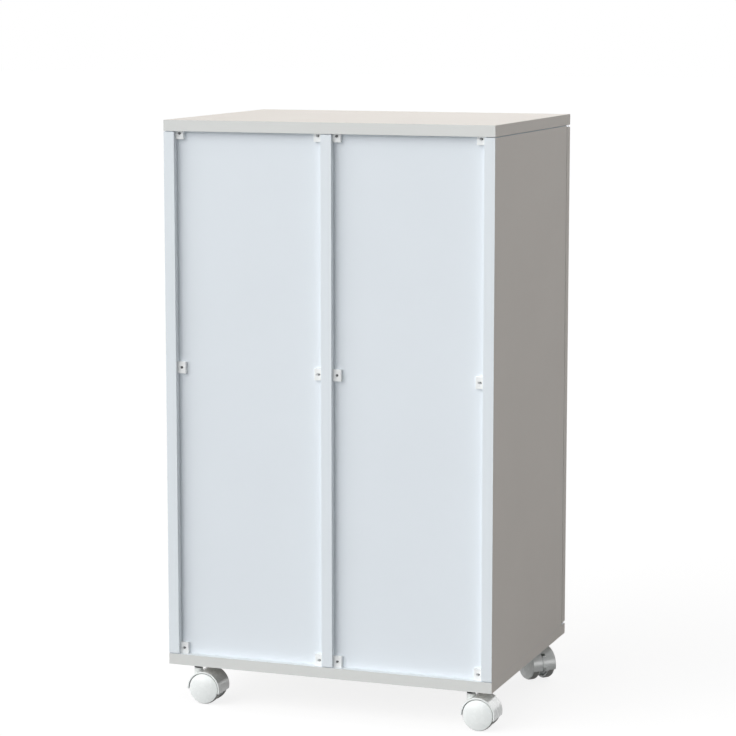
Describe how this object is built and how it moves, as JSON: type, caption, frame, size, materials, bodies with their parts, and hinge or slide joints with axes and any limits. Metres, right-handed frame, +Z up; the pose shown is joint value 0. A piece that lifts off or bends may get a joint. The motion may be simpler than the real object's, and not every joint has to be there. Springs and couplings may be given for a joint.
{
  "type": "recycling bin cabinet",
  "caption": "White kitchen cabinet on twin-wheel casters, with full-height hinged doors, shelved bays and lift-out sorting bins.",
  "frame": {"origin": "on the floor, under the middle of the outline that the cabinet and its handles cover", "axes": "+Z up, -Y towards the doors, -X to the left of someone who faces the doors"},
  "size_m": [0.5143, 0.407, 0.862],
  "materials": {
    "white_melamine": "white melamine on particle board, satin",
    "white_hardboard": "white lacquered hardboard, satin",
    "white_plastic": "moulded, satin",
    "caster_plastic": "moulded nylon, semi-gloss",
    "caster_wheel": "moulded nylon, semi-gloss",
    "bin_grey": "fine grained polypropylene",
    "ring_green": "fine grained polypropylene",
    "ring_blue": "fine grained polypropylene",
    "ring_yellow": "fine grained polypropylene",
    "ring_light_grey": "fine grained polypropylene",
    "beech": "fluted beech",
    "bumper_rubber": "clear soft",
    "zinc": "zinc die casting",
    "satin_steel": "brushed",
    "steel": "zinc plated"
  },
  "bodies": {
    "cabinet": {"top_panel": "white_melamine", "bottom_panel": "white_melamine", "left_side_panel": "white_melamine", "right_side_panel": "white_melamine", "centre_divider": "white_melamine", "left_back_panel": "white_hardboard", "right_back_panel": "white_hardboard", "back_panel_clips": "white_plastic", "clip_screws": "steel", "left_shelf": "white_melamine", "right_shelf": "white_melamine", "shelf_pins": "steel", "cam_locks": "zinc", "cam_bolts": "steel", "dowels": "beech", "hinge_fixed_leaves": "steel", "case_screws": "steel", "magnetic_catches": "white_plastic", "door_bumpers": "bumper_rubber", "upper_left_bin": "bin_grey", "upper_right_bin": "bin_grey", "lower_left_bin": "bin_grey", "lower_right_bin": "bin_grey", "upper_left_bag_ring": "ring_green", "upper_right_bag_ring": "ring_blue", "lower_left_bag_ring": "ring_yellow", "lower_right_bag_ring": "ring_light_grey", "caster_sockets": "steel", "caster_stems": "steel"},
    "left_door": {"left_door": "white_melamine", "left_door_leaves": "steel", "left_handle": "satin_steel", "left_strike_plate": "steel", "left_door_screws": "steel"},
    "right_door": {"right_door": "white_melamine", "right_door_leaves": "steel", "right_handle": "satin_steel", "right_strike_plate": "steel", "right_door_screws": "steel"},
    "rear_left_caster": {"rear_left_hood": "caster_plastic", "rear_left_axle": "steel"},
    "rear_left_wheel_1": {"rear_left_wheel_1": "caster_wheel"},
    "rear_left_wheel_2": {"rear_left_wheel_2": "caster_wheel"},
    "rear_right_caster": {"rear_right_hood": "caster_plastic", "rear_right_axle": "steel"},
    "rear_right_wheel_1": {"rear_right_wheel_1": "caster_wheel"},
    "rear_right_wheel_2": {"rear_right_wheel_2": "caster_wheel"},
    "front_left_caster": {"front_left_hood": "caster_plastic", "front_left_axle": "steel"},
    "front_left_wheel_1": {"front_left_wheel_1": "caster_wheel"},
    "front_left_wheel_2": {"front_left_wheel_2": "caster_wheel"},
    "front_left_lever": {"front_left_brake_lever": "caster_plastic"},
    "front_right_caster": {"front_right_hood": "caster_plastic", "front_right_axle": "steel"},
    "front_right_wheel_1": {"front_right_wheel_1": "caster_wheel"},
    "front_right_wheel_2": {"front_right_wheel_2": "caster_wheel"},
    "front_right_lever": {"front_right_brake_lever": "caster_plastic"}
  },
  "joints": [
    {"name": "left_door_hinge", "type": "hinge", "parent": "cabinet", "child": "left_door", "pos_m": [-0.245, -0.174, 0.074], "axis": [0, 0, -1], "range_deg": [0, 110]},
    {"name": "right_door_hinge", "type": "hinge", "parent": "cabinet", "child": "right_door", "pos_m": [0.245, -0.174, 0.074], "axis": [0, 0, 1], "range_deg": [0, 110]},
    {"name": "rear_left_swivel", "type": "hinge", "parent": "cabinet", "child": "rear_left_caster", "pos_m": [-0.2125, 0.1805, 0.058], "axis": [0, 0, 1], "continuous": true},
    {"name": "rear_left_wheel_1_spin", "type": "hinge", "parent": "rear_left_caster", "child": "rear_left_wheel_1", "pos_m": [-0.228, 0.1805, 0.0235], "axis": [0, -1, 0], "continuous": true},
    {"name": "rear_left_wheel_2_spin", "type": "hinge", "parent": "rear_left_caster", "child": "rear_left_wheel_2", "pos_m": [-0.228, 0.1805, 0.0235], "axis": [0, -1, 0], "continuous": true},
    {"name": "rear_right_swivel", "type": "hinge", "parent": "cabinet", "child": "rear_right_caster", "pos_m": [0.2125, 0.1805, 0.058], "axis": [0, 0, 1], "continuous": true},
    {"name": "rear_right_wheel_1_spin", "type": "hinge", "parent": "rear_right_caster", "child": "rear_right_wheel_1", "pos_m": [0.197, 0.1805, 0.0235], "axis": [0, -1, 0], "continuous": true},
    {"name": "rear_right_wheel_2_spin", "type": "hinge", "parent": "rear_right_caster", "child": "rear_right_wheel_2", "pos_m": [0.197, 0.1805, 0.0235], "axis": [0, -1, 0], "continuous": true},
    {"name": "front_left_swivel", "type": "hinge", "parent": "cabinet", "child": "front_left_caster", "pos_m": [-0.2125, -0.1235, 0.058], "axis": [0, 0, 1], "continuous": true},
    {"name": "front_left_wheel_1_spin", "type": "hinge", "parent": "front_left_caster", "child": "front_left_wheel_1", "pos_m": [-0.22402, -0.11313, 0.0235], "axis": [-0.6691, -0.7431, 0], "continuous": true},
    {"name": "front_left_wheel_2_spin", "type": "hinge", "parent": "front_left_caster", "child": "front_left_wheel_2", "pos_m": [-0.22402, -0.11313, 0.0235], "axis": [-0.6691, -0.7431, 0], "continuous": true},
    {"name": "front_left_brake", "type": "hinge", "parent": "front_left_caster", "child": "front_left_lever", "pos_m": [-0.23753, -0.10096, 0.034], "axis": [-0.6691, -0.7431, 0], "range_deg": [0, 12]},
    {"name": "front_right_swivel", "type": "hinge", "parent": "cabinet", "child": "front_right_caster", "pos_m": [0.2125, -0.1235, 0.058], "axis": [0, 0, 1], "continuous": true},
    {"name": "front_right_wheel_1_spin", "type": "hinge", "parent": "front_right_caster", "child": "front_right_wheel_1", "pos_m": [0.22592, -0.13125, 0.0235], "axis": [0.5, 0.866, 0], "continuous": true},
    {"name": "front_right_wheel_2_spin", "type": "hinge", "parent": "front_right_caster", "child": "front_right_wheel_2", "pos_m": [0.22592, -0.13125, 0.0235], "axis": [0.5, 0.866, 0], "continuous": true},
    {"name": "front_right_brake", "type": "hinge", "parent": "front_right_caster", "child": "front_right_lever", "pos_m": [0.24167, -0.14034, 0.034], "axis": [0.5, 0.866, 0], "range_deg": [0, 12]}
  ]
}
